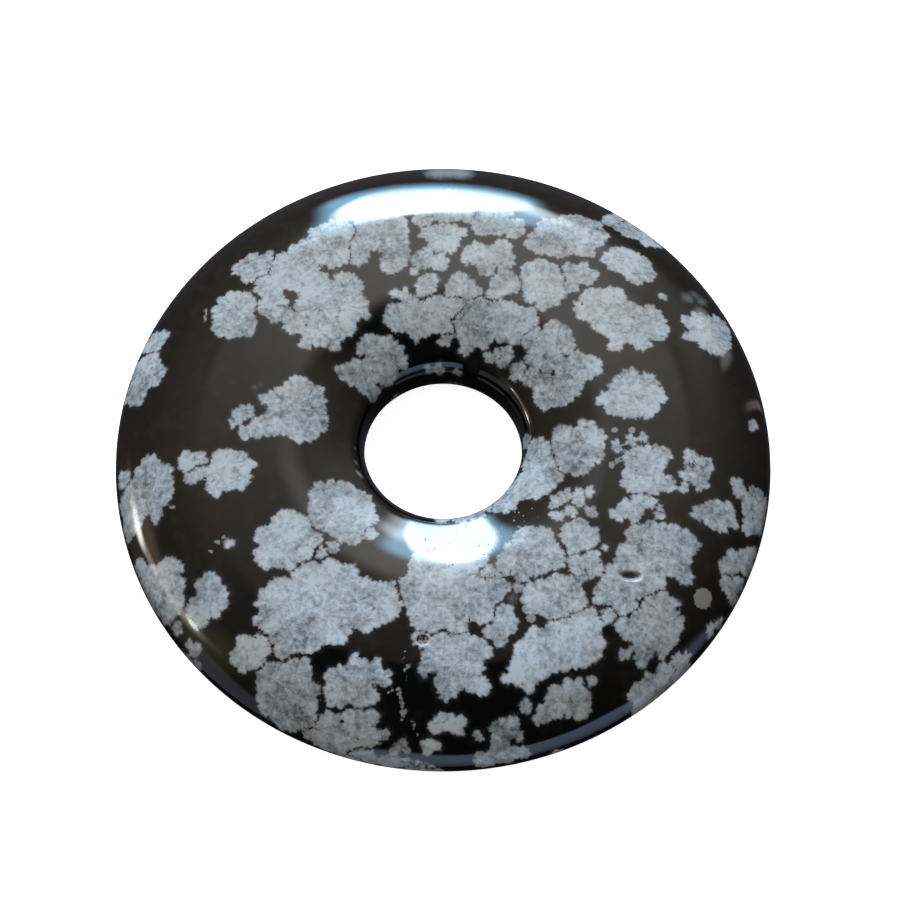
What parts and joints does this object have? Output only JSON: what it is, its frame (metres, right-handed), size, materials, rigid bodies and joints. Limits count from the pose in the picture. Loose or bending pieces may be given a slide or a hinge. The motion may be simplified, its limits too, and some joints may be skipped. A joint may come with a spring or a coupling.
{
  "type": "snowflake obsidian donut",
  "caption": "Flat polished stone ring with rounded rims and a hole through its middle, black glass with blue-grey snowflake markings, for hanging on a cord.",
  "frame": {"origin": "on the hole's axis, in the plane of the face that the ring rests on", "axes": "+Z along the hole's axis, out of the upper face; X and Y are alike, since the ring is round"},
  "size_m": [0.04, 0.04, 0.0054],
  "materials": {
    "snowflake_obsidian": "polished"
  },
  "bodies": {
    "root": {"donut": "snowflake_obsidian"}
  },
  "joints": []
}
